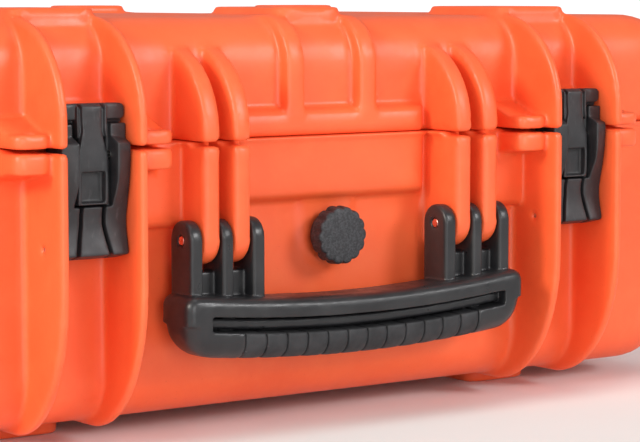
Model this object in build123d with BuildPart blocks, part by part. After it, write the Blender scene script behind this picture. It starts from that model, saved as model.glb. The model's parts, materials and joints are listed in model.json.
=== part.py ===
from build123d import *
import os
from math import cos, radians, sin

# A hard equipment case, in mm. +Z up, +X to the right as seen from the front, +Y to the back.
# The origin is on the floor, under the centre of the closed case.

os.makedirs("parts", exist_ok=True)

# Tub: the plain box under all the ribs
TUB_X = 263.0  # half width
FRONT_Y = -139.0
BACK_Y = 147.0
CORNER_R = 40.0
FLOOR_Z = 9.5
TOP_Z = 211.5
PART_Z = 149.7  # parting line, and height of the hinge axis
BASE_R = 28.0
LID_R = 25.0
WALL = 4.0
RIB_GAP = 1.0  # ribs and fins stop this far from the parting line, on each side
RIM_Z = PART_Z + 0.9  # top of the base rim
LID_Z = PART_Z + 1.0  # underside of the lid rim
MID_Y = (FRONT_Y + BACK_Y) / 2
TUB_Y = (BACK_Y - FRONT_Y) / 2

# Rims and seal
LIP_T = 1.9
LIP_FRONT = 18.0
LIP_FRONT_X = 101.0  # the deep part of the lip ends at the handle's fins
LIP_SIDE = 10.0
RIM_IN = 13.0  # the rims are this thick, from the outer wall inwards
RIM_H = 8.0
GROOVE_IN = 5.0
GROOVE_W = 6.0
GROOVE_H = 5.0
RIDGE_IN = 7.0
RIDGE_W = 2.0
RIDGE_H = 1.5

# Latch ribs, which run round the whole case as hoops
RIB_T = 4.7
LATCH_X = 152.0
RIB_X = [s * (LATCH_X + o * 21.65) for s in (-1, 1) for o in (-1, 1)]
RIB_FRONT = -175.5
RIB_BACK = BACK_Y + LIP_SIDE
CREST_Z = 212.5
RIB_LOW = 7.5

# Fins that carry the handle
FIN_X = [70.05, 88.0]
FIN_T = 9.7
FIN_FRONT = -169.0

# Raised bands on the front
BAND_X = 61.5
BAND_Y = FRONT_Y - 8.0
BAND_LOW = 117.5
BAND_HIGH = 164.5
BAND_R = 6.0
PAD_X = (92.0, 128.5)  # pads between the outer fins and the latch ribs
PAD_Y = FRONT_Y - 10.0
PAD_LOW = 107.5

# Padlock lugs
LUG_X = [118.3, 185.7]
LUG_HOLE_X = [120.0, 184.0]
LUG_W = 19.4
LUG_FRONT = -168.7
LUG_HOLE_Y = -159.5
LUG_HOLE_R = 3.5

# Handle
PIN_Y = -159.0
PIN_Z = 102.2
PIN_R = 2.5
HANDLE_PIN_X = 79.0
HANDLE_PIN_HALF = 21.7
PRONG_R = 10.0
PRONGS = [(57.0, 64.5), (75.6, 82.4), (93.6, 101.0)]
BAR_X = 106.3
BAR_LOW = 39.6
BAR_HIGH = 70.4
BAR_SAG = 4.6  # how far the bar's middle hangs below its shape at SAG_X
SAG_X = 92.0
BAR_FRONT = -177.0
BAR_BACK = -149.0
GRIP_X = 73.8
GRIP_R = 6.6
GRIP_PITCH = 12.3

# Latches
LEVER_Y = -156.0
LEVER_Z = 102.0
LEVER_PIN_R = 1.8
NOTCH = (-145.0, 167.5)  # small moulding hole through the lid's latch ribs, above the claw
NOTCH_R = 1.3
LEVER_PIN_HALF = 22.5
LATCH_HALF = 18.75
STEM_HALF = 8.25
STEM_GAP = 0.65
CLAW_Y = -159.3
CLAW_Z = 146.5
CLAW_PIN_R = 1.5

# Purge valve
VALVE_Z = 98.5
KNOB_R = 15.6
KNOB_FRONT = -156.4
KNOB_BACK = -147.2
SEAT_Y = FRONT_Y - 2.0
BODY_R = 8.0

# Hinges
HINGE_Y = 168.0
KNUCKLE_R = 9.0
HINGE_PIN_R = 2.5
BASE_KNUCKLE = 14.0
LID_KNUCKLE = 22.0
KNUCKLE_GAP = 0.5
HINGE_L = 3 * BASE_KNUCKLE + 2 * LID_KNUCKLE + 4 * KNUCKLE_GAP

FIT = 0.02  # radial room of a pin that is pressed in
RUN = 0.08  # radial room of a pin that something turns on

SIDES = {"left": -1, "right": 1}


def tub_outline(inset):
    """The case's plan outline, moved in by inset."""
    with BuildSketch() as outline:
        with Locations((0, MID_Y)):
            RectangleRounded(2 * (TUB_X - inset), 2 * (TUB_Y - inset), CORNER_R - inset)
    return outline.sketch


def ring_outline(outer, inner):
    """A band of the plan outline between two insets."""
    with BuildSketch() as outline:
        add(tub_outline(outer))
        add(tub_outline(inner), mode=Mode.SUBTRACT)
    return outline.sketch


def base_hoop():
    """Side view of a base rib: straight down the front, then a long curve under the floor."""
    low_y = RIB_FRONT + 54
    back_y = RIB_BACK - 40
    with BuildSketch() as outline:
        with BuildLine():
            Line((RIB_FRONT, PART_Z - RIB_GAP), (RIB_FRONT, 81.5))
            EllipticalCenterArc((low_y, 81.5), 54, 81.5 - RIB_LOW, 180, arc_size=90)
            Line((low_y, RIB_LOW), (back_y, RIB_LOW))
            EllipticalCenterArc((back_y, 61.5), 40, 61.5 - RIB_LOW, 270, arc_size=90)
            Polyline((RIB_BACK, 61.5), (RIB_BACK, PART_Z - RIB_GAP), (RIB_FRONT, PART_Z - RIB_GAP))
        make_face()
    return outline.sketch


def lid_hoop(front, radius):
    """Side view of a lid rib that runs up the front, over the top and down the back."""
    bend_z = CREST_Z - radius
    with BuildSketch() as outline:
        with BuildLine():
            Line((front, LID_Z), (front, bend_z))
            CenterArc((front + radius, bend_z), radius, 180, -90)
            Line((front + radius, CREST_Z), (RIB_BACK - radius, CREST_Z))
            CenterArc((RIB_BACK - radius, bend_z), radius, 90, -90)
            Polyline((RIB_BACK, bend_z), (RIB_BACK, LID_Z), (front, LID_Z))
        make_face()
    return outline.sketch


def base_fin():
    """Side view of a base fin, which holds the handle pin."""
    bend_r = 14.5
    bend_z = PIN_Z + 1.3
    root_y = FRONT_Y + 6
    with BuildSketch() as outline:
        with BuildLine():
            Line((FIN_FRONT, PART_Z - RIB_GAP), (FIN_FRONT, bend_z))
            CenterArc((FIN_FRONT + bend_r, bend_z), bend_r, 180, 90)
            Polyline(
                (FIN_FRONT + bend_r, bend_z - bend_r),
                (root_y, bend_z - bend_r),
                (root_y, PART_Z - RIB_GAP),
                (FIN_FRONT, PART_Z - RIB_GAP),
            )
        make_face()
    return outline.sketch


def lid_fin():
    """Side view of a lid fin, a quarter round that dies into the front wall."""
    radius = 44.0
    bend_z = LID_Z + 3.8
    with BuildSketch() as outline:
        with BuildLine():
            Line((FIN_FRONT, LID_Z), (FIN_FRONT, bend_z))
            CenterArc((FIN_FRONT + radius, bend_z), radius, 180, -90)
            Polyline((FIN_FRONT + radius, bend_z + radius), (FIN_FRONT + radius, LID_Z), (FIN_FRONT, LID_Z))
        make_face()
    return outline.sketch


def side_rib(low, high, bend_x, bend_low, bend_high):
    """Front view of the upper or lower half of a side rib, on the +X side."""
    out_x = TUB_X + LIP_SIDE
    with BuildSketch() as outline:
        with BuildLine():
            Line((out_x, bend_low), (out_x, bend_high))
            if high > bend_high:
                EllipticalCenterArc((bend_x, bend_high), out_x - bend_x, high - bend_high, 0, arc_size=90)
                Polyline((bend_x, high), (bend_x, bend_low), (out_x, bend_low))
            else:
                Polyline((out_x, bend_high), (bend_x, bend_high), (bend_x, low))
                EllipticalCenterArc((bend_x, bend_low), out_x - bend_x, bend_low - low, 270, arc_size=90)
        make_face()
    return outline.sketch


def front_block(x0, x1, z0, z1, front, rounded):
    """A raised block on the front wall, rounded at both ends and at its low or high edge."""
    with BuildPart() as block:
        with BuildSketch(Plane.XZ.offset(-FRONT_Y - 1)):
            with Locations(((x0 + x1) / 2, (z0 + z1) / 2)):
                Rectangle(x1 - x0, z1 - z0)
        extrude(amount=1 + FRONT_Y - front)
        level = block.faces().sort_by(Axis.Y)[0].edges().filter_by(Axis.X).sort_by(Axis.Z)
        ends = block.faces().sort_by(Axis.Y)[0].edges().filter_by(Axis.Z)
        fillet([level[0] if rounded == "low" else level[-1], *ends], BAND_R)
    return block.part


SIDE_RIB_Y = [MID_Y - 72, MID_Y + 72]
SIDE_RIB_T = 9.0
SIDE_RIB_X = TUB_X - 34

HINGE_STEP = (BASE_KNUCKLE + LID_KNUCKLE) / 2 + KNUCKLE_GAP
BASE_KNUCKLE_X = [-2 * HINGE_STEP, 0, 2 * HINGE_STEP]
LID_KNUCKLE_X = [-HINGE_STEP, HINGE_STEP]


def knuckle(web_z, rim_z):
    """Side view of a hinge knuckle with its web to the wall, which starts at web_z."""
    side = 1 if web_z > rim_z else -1
    with BuildSketch() as outline:
        with Locations((HINGE_Y, PART_Z)):
            Circle(KNUCKLE_R)
        Polygon(
            (BACK_Y - 1, web_z),
            (HINGE_Y + 4, PART_Z + side * 6.5),
            (HINGE_Y, rim_z),
            (BACK_Y - 1, rim_z),
            align=None,
        )
    return outline.sketch


# Padlock lugs: four below the parting line and four above, each with a vertical hole
def lug_outline(tip_z, root_z, rim_z):
    """Side view of a lug: level at the parting line, sloping from the wall to the tip."""
    with BuildSketch() as outline:
        Polygon(
            (FRONT_Y, rim_z),
            (LUG_FRONT, rim_z),
            (LUG_FRONT, tip_z),
            (LUG_HOLE_Y + 2, tip_z),
            (FRONT_Y, root_z),
            align=None,
        )
    return outline.sketch


LUG_TIP_DROP = 11.2
LUG_TIP_RISE = 8.0
LUG_ROOT = 15.5
with BuildPart() as base_padlock_lugs:
    for side in (-1, 1):
        for x in LUG_X:
            with BuildSketch(Plane.YZ.offset(side * x - LUG_W / 2)):
                add(lug_outline(PART_Z - LUG_TIP_DROP, PART_Z - LUG_ROOT, PART_Z - RIB_GAP))
            extrude(amount=LUG_W)
    fillet(base_padlock_lugs.edges().filter_by(Axis.Z).group_by(Axis.Y)[0], 6)
    for side in (-1, 1):
        for x in LUG_HOLE_X:
            with BuildSketch(Plane.XY.offset(PART_Z - 30)):
                with Locations((side * x, LUG_HOLE_Y)):
                    Circle(LUG_HOLE_R)
            extrude(amount=60, mode=Mode.SUBTRACT)
base_padlock_lugs.part.label = "base_padlock_lugs"
export_step(base_padlock_lugs.part, "parts/base_padlock_lugs.step")

with BuildPart() as lid_padlock_lugs:
    for side in (-1, 1):
        for x in LUG_X:
            with BuildSketch(Plane.YZ.offset(side * x - LUG_W / 2)):
                add(lug_outline(PART_Z + LUG_TIP_RISE, PART_Z + LUG_ROOT, LID_Z))
            extrude(amount=LUG_W)
    fillet(lid_padlock_lugs.edges().filter_by(Axis.Z).group_by(Axis.Y)[0], 6)
    for side in (-1, 1):
        for x in LUG_HOLE_X:
            with BuildSketch(Plane.XY.offset(PART_Z - 30)):
                with Locations((side * x, LUG_HOLE_Y)):
                    Circle(LUG_HOLE_R)
            extrude(amount=60, mode=Mode.SUBTRACT)
lid_padlock_lugs.part.label = "lid_padlock_lugs"
export_step(lid_padlock_lugs.part, "parts/lid_padlock_lugs.step")

# The spaces inside the two shells, under the rims
with BuildPart() as base_cavity:
    with BuildSketch(Plane.XY.offset(FLOOR_Z + WALL)):
        add(tub_outline(WALL))
    extrude(amount=RIM_Z - RIM_H - FLOOR_Z - WALL)
    fillet(base_cavity.faces().sort_by(Axis.Z)[0].edges(), BASE_R - WALL)

with BuildPart() as lid_cavity:
    with BuildSketch(Plane.XY.offset(LID_Z + RIM_H)):
        add(tub_outline(WALL))
    extrude(amount=TOP_Z - WALL - LID_Z - RIM_H)
    fillet(lid_cavity.faces().sort_by(Axis.Z)[-1].edges(), LID_R - WALL)

# Base shell: tub, hoop ribs, fins, bands, rim and feet as one moulding
FOOT_X = (133.0, 176.0)
FOOT_Y = [(-95.5, -60.0), (68.0, 103.5)]
with BuildPart() as base_shell:
    with BuildSketch(Plane.XY.offset(FLOOR_Z)):
        add(tub_outline(0))
    extrude(amount=RIM_Z - FLOOR_Z)
    fillet(base_shell.faces().sort_by(Axis.Z)[0].edges(), BASE_R)
    # lip all round, deeper along the front, and short inside the latch slots
    with BuildSketch(Plane.XY.offset(RIM_Z - LIP_T)):
        add(tub_outline(-LIP_SIDE))
        with Locations((0, FRONT_Y)):
            Rectangle(2 * LIP_FRONT_X, 2 * LIP_FRONT)
        for side in (-1, 1):
            with Locations((side * LATCH_X, FRONT_Y - 4 - 20)):
                Rectangle(2 * LATCH_HALF + 1.2, 40, mode=Mode.SUBTRACT)
    extrude(amount=LIP_T)
    for x in RIB_X:
        with BuildSketch(Plane.YZ.offset(x - RIB_T / 2)):
            add(base_hoop())
        extrude(amount=RIB_T)
    for side in (-1, 1):
        for x in FIN_X:
            with BuildSketch(Plane.YZ.offset(side * x - FIN_T / 2)):
                add(base_fin())
            extrude(amount=FIN_T)
        x0, x1 = sorted((side * PAD_X[0], side * PAD_X[1]))
        add(front_block(x0, x1, PAD_LOW, PART_Z - RIB_GAP, PAD_Y, "low"))
    # plain band across the middle, and the valve's seat under it
    add(front_block(-BAND_X, BAND_X, BAND_LOW, RIM_Z, BAND_Y, "low"))
    with BuildSketch(Plane.XZ.offset(-FRONT_Y - 1)):
        with Locations((0, VALVE_Z)):
            Circle(KNOB_R + 1.4)
        with Locations((0, (VALVE_Z + BAND_LOW + 2) / 2)):
            Rectangle(2 * KNOB_R + 2.8, BAND_LOW + 2 - VALVE_Z)
    extrude(amount=1 + FRONT_Y - SEAT_Y)
    for y in SIDE_RIB_Y:
        with BuildSketch(Plane.XZ.offset(-y - SIDE_RIB_T / 2)) as side_ribs:
            add(side_rib(14, 0, SIDE_RIB_X, 70, PART_Z - RIB_GAP))
            mirror(about=Plane.YZ)
        extrude(amount=SIDE_RIB_T)
    for side in (-1, 1):
        for x in BASE_KNUCKLE_X:
            with BuildSketch(Plane.YZ.offset(side * LATCH_X + x - BASE_KNUCKLE / 2)):
                add(knuckle(108, PART_Z - RIB_GAP))
            extrude(amount=BASE_KNUCKLE)
        for y0, y1 in FOOT_Y:
            with BuildSketch(Plane.XY):
                with Locations((side * (FOOT_X[0] + FOOT_X[1]) / 2, (y0 + y1) / 2)):
                    RectangleRounded(FOOT_X[1] - FOOT_X[0], y1 - y0, 9)
            extrude(amount=FLOOR_Z + 1)
    # cavity, with a thicker rim at its mouth
    add(base_cavity.part, mode=Mode.SUBTRACT)
    with BuildSketch(Plane.XY.offset(RIM_Z - RIM_H - 0.5)):
        add(tub_outline(RIM_IN))
    extrude(amount=RIM_H + 1, mode=Mode.SUBTRACT)
    with BuildSketch(Plane.XY.offset(RIM_Z - 0.5)):
        add(ring_outline(RIDGE_IN, RIDGE_IN + RIDGE_W))
    extrude(amount=RIDGE_H + 0.5)
    # holes for the valve and for every pin
    with BuildSketch(Plane.XZ.offset(-FRONT_Y - 10)):
        with Locations((0, VALVE_Z)):
            Circle(BODY_R + FIT)
    extrude(amount=14, mode=Mode.SUBTRACT)
    for side in (-1, 1):
        with BuildSketch(Plane.YZ.offset(side * HANDLE_PIN_X - 30)):
            with Locations((PIN_Y, PIN_Z)):
                Circle(PIN_R + FIT)
        extrude(amount=60, mode=Mode.SUBTRACT)
        with BuildSketch(Plane.YZ.offset(side * LATCH_X - 25)):
            with Locations((LEVER_Y, LEVER_Z)):
                Circle(LEVER_PIN_R + FIT)
        extrude(amount=50, mode=Mode.SUBTRACT)
        with BuildSketch(Plane.YZ.offset(side * LATCH_X - HINGE_L / 2 - 1)):
            with Locations((HINGE_Y, PART_Z)):
                Circle(HINGE_PIN_R + FIT)
        extrude(amount=HINGE_L + 2, mode=Mode.SUBTRACT)
    add(base_padlock_lugs.part, mode=Mode.SUBTRACT)
base_shell.part.label = "base_shell"
export_step(base_shell.part, "parts/base_shell.step")

# Lid shell: the same, upside down, with stacking pads and a groove for the seal
PAD_Z = 216.5
TOP_PADS = [(-LATCH_X, 24.0), (0.0, 20.5), (LATCH_X, 24.0)]
TOP_PAD_Y = [(-128.0, -58.0), (98.0, 128.0)]
CENTRE_RIB_X = 23.0
CENTRE_RIB_T = 11.0
CATCH_Y = -153.5  # front face of the rail that the claw presses on
CATCH_Z = (158.5, 169.5)
with BuildPart() as lid_shell:
    with BuildSketch(Plane.XY.offset(LID_Z)):
        add(tub_outline(0))
    extrude(amount=TOP_Z - LID_Z)
    fillet(lid_shell.faces().sort_by(Axis.Z)[-1].edges(), LID_R)
    with BuildSketch(Plane.XY.offset(LID_Z)):
        add(tub_outline(-LIP_SIDE))
        with Locations((0, FRONT_Y - 10)):
            Rectangle(2 * TUB_X + 30, 20, mode=Mode.SUBTRACT)
    extrude(amount=3)
    for x in RIB_X:
        with BuildSketch(Plane.YZ.offset(x - RIB_T / 2)):
            add(lid_hoop(RIB_FRONT, 51))
        extrude(amount=RIB_T)
    for side in (-1, 1):
        with BuildSketch(Plane.YZ.offset(side * CENTRE_RIB_X - CENTRE_RIB_T / 2)):
            add(lid_hoop(BAND_Y, 26))
        extrude(amount=CENTRE_RIB_T)
        for x in FIN_X:
            with BuildSketch(Plane.YZ.offset(side * x - FIN_T / 2)):
                add(lid_fin())
            extrude(amount=FIN_T)
        with BuildSketch(Plane.XZ.offset(-FRONT_Y - 1)):
            with Locations((side * LATCH_X, (CATCH_Z[0] + CATCH_Z[1]) / 2)):
                Rectangle(2 * LATCH_HALF + 4, CATCH_Z[1] - CATCH_Z[0])
        extrude(amount=1 + FRONT_Y - CATCH_Y)
    add(front_block(-BAND_X, BAND_X, LID_Z, BAND_HIGH, BAND_Y, "high"))
    for x, half in TOP_PADS:
        for y0, y1 in TOP_PAD_Y:
            with BuildSketch(Plane.XY.offset(TOP_Z - 3)):
                with Locations((x, (y0 + y1) / 2)):
                    RectangleRounded(2 * half, y1 - y0, 8)
            extrude(amount=PAD_Z - TOP_Z + 3)
    for y in SIDE_RIB_Y:
        with BuildSketch(Plane.XZ.offset(-y - SIDE_RIB_T / 2)):
            add(side_rib(0, TOP_Z - 7, SIDE_RIB_X, LID_Z, 160))
            mirror(about=Plane.YZ)
        extrude(amount=SIDE_RIB_T)
    for side in (-1, 1):
        for x in LID_KNUCKLE_X:
            with BuildSketch(Plane.YZ.offset(side * LATCH_X + x - LID_KNUCKLE / 2)):
                add(knuckle(190, LID_Z))
            extrude(amount=LID_KNUCKLE)
    add(lid_cavity.part, mode=Mode.SUBTRACT)
    with BuildSketch(Plane.XY.offset(LID_Z - 0.5)):
        add(tub_outline(RIM_IN))
    extrude(amount=RIM_H + 1, mode=Mode.SUBTRACT)
    with BuildSketch(Plane.XY.offset(LID_Z - 0.5)):
        add(ring_outline(GROOVE_IN, GROOVE_IN + GROOVE_W))
    extrude(amount=GROOVE_H + 0.5, mode=Mode.SUBTRACT)
    for side in (-1, 1):
        with BuildSketch(Plane.YZ.offset(side * LATCH_X - HINGE_L / 2 - 1)):
            with Locations((HINGE_Y, PART_Z)):
                Circle(HINGE_PIN_R + RUN)
        extrude(amount=HINGE_L + 2, mode=Mode.SUBTRACT)
        with BuildSketch(Plane.YZ.offset(side * LATCH_X - 25)):
            with Locations(NOTCH):
                Circle(NOTCH_R)
        extrude(amount=50, mode=Mode.SUBTRACT)
    add(lid_padlock_lugs.part, mode=Mode.SUBTRACT)
lid_shell.part.label = "lid_shell"
export_step(lid_shell.part, "parts/lid_shell.step")

# Seal ring, seated at the top of the lid's groove
SEAL_H = 3.3
with BuildPart() as lid_gasket:
    with BuildSketch(Plane.XY.offset(LID_Z + GROOVE_H - SEAL_H)):
        add(ring_outline(GROOVE_IN + 0.1, GROOVE_IN + GROOVE_W - 0.1))
    extrude(amount=SEAL_H)
lid_gasket.part.label = "lid_gasket"
export_step(lid_gasket.part, "parts/lid_gasket.step")

# Handle frame: three prongs each side on one long bar that sags in the middle, hollowed for the grip
CHANNEL_Z = (52.4, 63.0)
CHANNEL_X = 92.0
GRIP_Z = BAR_LOW + GRIP_R
LOW_R = 16.0
BEND_R = (SAG_X**2 + BAR_SAG**2) / (2 * BAR_SAG)
BEND_AXIS = Axis((0, 0, BAR_LOW + BEND_R), (0, 1, 0))
BEND_ANGLE = 8.0


def sag(x):
    """How far the bar rises at x above its height in the middle."""
    return BAR_SAG * (x / SAG_X) ** 2


def sagging_edge(x, z):
    """An edge along the bar between -x and x, at height z in the middle."""
    return ThreePointArc((-x, z + sag(x)), (0, z), (x, z + sag(x)))


with BuildPart() as handle_frame:
    with BuildSketch(Plane.YZ):
        with Locations(((BAR_FRONT + BAR_BACK) / 2, (BAR_LOW + BAR_HIGH) / 2)):
            RectangleRounded(BAR_BACK - BAR_FRONT, BAR_HIGH - BAR_LOW, 5)
    revolve(axis=BEND_AXIS, revolution_arc=BEND_ANGLE)
    with BuildSketch(Plane.YZ):
        with Locations(((BAR_FRONT + BAR_BACK) / 2, (BAR_LOW + BAR_HIGH) / 2)):
            RectangleRounded(BAR_BACK - BAR_FRONT, BAR_HIGH - BAR_LOW, 5)
    revolve(axis=BEND_AXIS, revolution_arc=-BEND_ANGLE)
    with BuildSketch(Plane.XZ.offset(-BAR_BACK - 1)):
        with Locations((0, BAR_LOW + sag(BAR_X) + LOW_R + 15)):
            Rectangle(2 * BAR_X, 30)
        with Locations((0, BAR_LOW + sag(BAR_X - LOW_R) + LOW_R)):
            SlotCenterToCenter(2 * (BAR_X - LOW_R), 2 * LOW_R)
        with Locations((0, BAR_LOW + 20)):
            Rectangle(2 * (BAR_X - LOW_R), 60)
    extrude(amount=BAR_BACK - BAR_FRONT + 2, mode=Mode.INTERSECT)
    with BuildSketch(Plane.XZ.offset(-BAR_FRONT - 8)):
        with BuildLine():
            low = sagging_edge(CHANNEL_X, CHANNEL_Z[0])
            high = sagging_edge(CHANNEL_X, CHANNEL_Z[1])
            Line(low @ 0, high @ 0)
            Line(low @ 1, high @ 1)
        make_face()
    extrude(amount=9, mode=Mode.SUBTRACT)
    for turn in (BEND_ANGLE, -BEND_ANGLE):
        with BuildPart(mode=Mode.PRIVATE) as grip_room:
            with BuildSketch(Plane.YZ):
                with Locations((BAR_FRONT, BAR_LOW)):
                    Rectangle(2 * (2 * GRIP_R + 0.1), 2 * (2 * GRIP_R + 0.1))
            revolve(axis=BEND_AXIS, revolution_arc=turn)
            with Locations((0, BAR_FRONT, BAR_LOW + 10)):
                Box(2 * GRIP_X + 0.2, 60, 60, mode=Mode.INTERSECT)
        add(grip_room.part, mode=Mode.SUBTRACT)
    for side in (-1, 1):
        for x0, x1 in PRONGS:
            with BuildSketch(Plane.YZ.offset(side * x0 if side > 0 else -x1)):
                with Locations((PIN_Y, PIN_Z)):
                    Circle(PRONG_R)
                with Locations((PIN_Y, (PIN_Z + BAR_HIGH - 4) / 2)):
                    Rectangle(2 * PRONG_R, PIN_Z - BAR_HIGH + 4)
            extrude(amount=x1 - x0)
        web_mid = side * (PRONGS[0][0] + PRONGS[2][1]) / 2
        with BuildSketch(Plane.XY.offset(BAR_HIGH - 2)):
            with Locations((web_mid, BAR_BACK - 6)):
                Rectangle(PRONGS[2][1] - PRONGS[0][0], 10)
        extrude(amount=17.6)
    with BuildSketch(Plane.YZ.offset(-PRONGS[2][1] - 1)):
        with Locations((PIN_Y, PIN_Z)):
            Circle(PIN_R + RUN)
    extrude(amount=2 * PRONGS[2][1] + 2, mode=Mode.SUBTRACT)
handle_frame.part.label = "handle_frame"
export_step(handle_frame.part, "parts/handle_frame.step")

# Handle grip: a soft roll along the lower front edge, with grooves round it
with BuildPart() as handle_grip:
    for turn in (BEND_ANGLE, -BEND_ANGLE):
        with BuildSketch(Plane.YZ):
            with Locations((BAR_FRONT + GRIP_R, GRIP_Z)):
                Circle(GRIP_R)
            with Locations((BAR_FRONT + GRIP_R * 1.5, GRIP_Z)):
                Rectangle(GRIP_R, 2 * GRIP_R)
        revolve(axis=BEND_AXIS, revolution_arc=turn)
    with Locations((0, BAR_FRONT, BAR_LOW + 10)):
        Box(2 * GRIP_X, 60, 60, mode=Mode.INTERSECT)
    for i in range(-5, 6):
        x = i * GRIP_PITCH
        with BuildSketch(Plane.YZ.offset(x - 0.6)):
            with Locations((BAR_FRONT + GRIP_R, GRIP_Z + sag(x))):
                Circle(GRIP_R + 1)
                Circle(GRIP_R - 1, mode=Mode.SUBTRACT)
            with Locations((BAR_FRONT + GRIP_R + 5, GRIP_Z + sag(x))):
                Rectangle(10, 2 * GRIP_R + 4, mode=Mode.SUBTRACT)
        extrude(amount=1.2, mode=Mode.SUBTRACT)
handle_grip.part.label = "handle_grip"
export_step(handle_grip.part, "parts/handle_grip.step")


def lever_profile(ramp, crest, chest):
    """The lever's side outline: low brow, ramp to the crest of its rail, waist and lower lip."""
    with BuildSketch() as profile:
        with BuildLine():
            Polyline((BROW_BACK, BROW_Z), (BROW_Y, BROW_Z), (BROW_Y, ramp), (crest, CREST_Z))
            Spline(
                (crest, CREST_Z),
                (crest, CREST_Z - 10),
                (chest, 132.0),
                (-163.3, 121.5),
                (-162.3, 115.0),
                (-163.4, 105.6),
                (-165.0, LEVER_LOW + 1),
            )
            Polyline(
                (-165.0, LEVER_LOW + 1),
                (LEVER_Y, LEVER_LOW - 1.5),
                (LEVER_Y + HUB_R, LEVER_Z),
                (LEVER_BACK + 0.5, 112),
                (LEVER_BACK, 150),
                (BROW_BACK, 156),
                (BROW_BACK, BROW_Z),
            )
        make_face()
    return profile.sketch


# Latch levers, claws, and the pins and springs that join them
LEVER_BACK = -150.5
LEVER_LOW = 97.5
BROW_Y = -162.3
BROW_BACK = -154.3
BROW_Z = 161.6
CREST_Z = 152.6
RAIL_IN = 10.3
SLOT_LOW = 121.8
HUB_R = 6.5
CLAW_FRONT = -163.7
CLAW_HEAD_Z = (163.6, 171.2)
CLAW_LOW = 122.7
SPRING_HALF = 3.2
for side_name, side in SIDES.items():
    x_mid = side * LATCH_X
    with BuildPart() as lever:
        with BuildSketch(Plane.YZ.offset(x_mid - RAIL_IN)):
            add(lever_profile(155.8, -169.6, -168.3))
        extrude(amount=2 * RAIL_IN)
        for edge in (-1, 1):
            with BuildSketch(Plane.YZ.offset(x_mid + edge * RAIL_IN)):
                add(lever_profile(155.8, -169.6, -168.3))
            with BuildSketch(Plane.YZ.offset(x_mid + edge * LATCH_HALF)):
                add(lever_profile(153.8, -166.8, -165.4))
            loft()
        # slot for the claw's stem, with a thin web left behind it
        with BuildSketch(Plane.XY.offset(SLOT_LOW)):
            with Locations((x_mid, LEVER_BACK - 3 - 15)):
                Rectangle(2 * (STEM_HALF + STEM_GAP), 30)
            with Locations((x_mid, BROW_Y + 2.5 - 15)):
                Rectangle(2 * RAIL_IN, 30)
        extrude(amount=60, mode=Mode.SUBTRACT)
        with BuildSketch(Plane.YZ.offset(x_mid - 30)):
            with Locations((LEVER_Y, LEVER_Z)):
                Circle(LEVER_PIN_R + RUN)
            with Locations((CLAW_Y, CLAW_Z)):
                Circle(CLAW_PIN_R + FIT)
        extrude(amount=60, mode=Mode.SUBTRACT)
    lever.part.label = f"latch_lever_{side_name}"
    export_step(lever.part, f"parts/latch_lever_{side_name}.step")

    with BuildPart() as claw:
        with BuildSketch(Plane.YZ.offset(x_mid - STEM_HALF)):
            with BuildLine():
                Spline(
                    (CLAW_FRONT + 1.0, CLAW_HEAD_Z[1] - 1),
                    (CLAW_FRONT + 0.6, 155.0),
                    (CLAW_FRONT - 0.2, 141.0),
                    (CLAW_FRONT + 0.4, CLAW_LOW),
                )
                Polyline(
                    (CLAW_FRONT + 0.4, CLAW_LOW),
                    (-158.6, CLAW_LOW + 0.6),
                    (-156.6, 145.0),
                    (-156.0, 158.0),
                    (-154.0, CLAW_HEAD_Z[1] - 4),
                    (-154.0, CLAW_HEAD_Z[1] - 1),
                    (CLAW_FRONT + 1.0, CLAW_HEAD_Z[1] - 1),
                )
            make_face()
        extrude(amount=2 * STEM_HALF)
        with BuildSketch(Plane.XZ.offset(154.0)):
            with Locations((x_mid, (CLAW_HEAD_Z[0] + CLAW_HEAD_Z[1]) / 2)):
                RectangleRounded(2 * LATCH_HALF, CLAW_HEAD_Z[1] - CLAW_HEAD_Z[0], 2.5)
        extrude(amount=7)
        # pocket for the spring, round the pin and open to the back
        with BuildSketch(Plane.YZ.offset(x_mid - SPRING_HALF - 0.3)):
            with Locations((CLAW_Y, CLAW_Z)):
                Circle(3.0)
            with Locations((CLAW_Y + 4, CLAW_Z)):
                Rectangle(8, 6.0)
        extrude(amount=2 * SPRING_HALF + 0.6, mode=Mode.SUBTRACT)
        # finger pocket on the lower third of the stem
        with BuildSketch(Plane.XZ.offset(-CLAW_FRONT - 3.6)):
            with Locations((x_mid, 131.4)):
                RectangleRounded(12.8, 14.2, 1.5)
        extrude(amount=6, mode=Mode.SUBTRACT)
        with BuildSketch(Plane.YZ.offset(x_mid - 30)):
            with Locations((CLAW_Y, CLAW_Z)):
                Circle(CLAW_PIN_R + RUN)
        extrude(amount=60, mode=Mode.SUBTRACT)
    claw.part.label = f"latch_claw_{side_name}"
    export_step(claw.part, f"parts/latch_claw_{side_name}.step")

    with BuildPart() as lever_pin:
        with BuildSketch(Plane.YZ.offset(x_mid - LEVER_PIN_HALF)):
            with Locations((LEVER_Y, LEVER_Z)):
                Circle(LEVER_PIN_R)
        extrude(amount=2 * LEVER_PIN_HALF)
    lever_pin.part.label = f"lever_pin_{side_name}"
    export_step(lever_pin.part, f"parts/lever_pin_{side_name}.step")

    with BuildPart() as claw_pin:
        with BuildSketch(Plane.YZ.offset(x_mid - LATCH_HALF + 0.5)):
            with Locations((CLAW_Y, CLAW_Z)):
                Circle(CLAW_PIN_R)
        extrude(amount=2 * LATCH_HALF - 1)
    claw_pin.part.label = f"claw_pin_{side_name}"
    export_step(claw_pin.part, f"parts/claw_pin_{side_name}.step")

    with BuildPart() as spring:
        with BuildSketch(Plane.YZ.offset(x_mid - SPRING_HALF)):
            with Locations((CLAW_Y, CLAW_Z)):
                Circle(2.6)
                Circle(1.7, mode=Mode.SUBTRACT)
        extrude(amount=2 * SPRING_HALF)
    spring.part.label = f"claw_spring_{side_name}"
    export_step(spring.part, f"parts/claw_spring_{side_name}.step")

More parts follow.
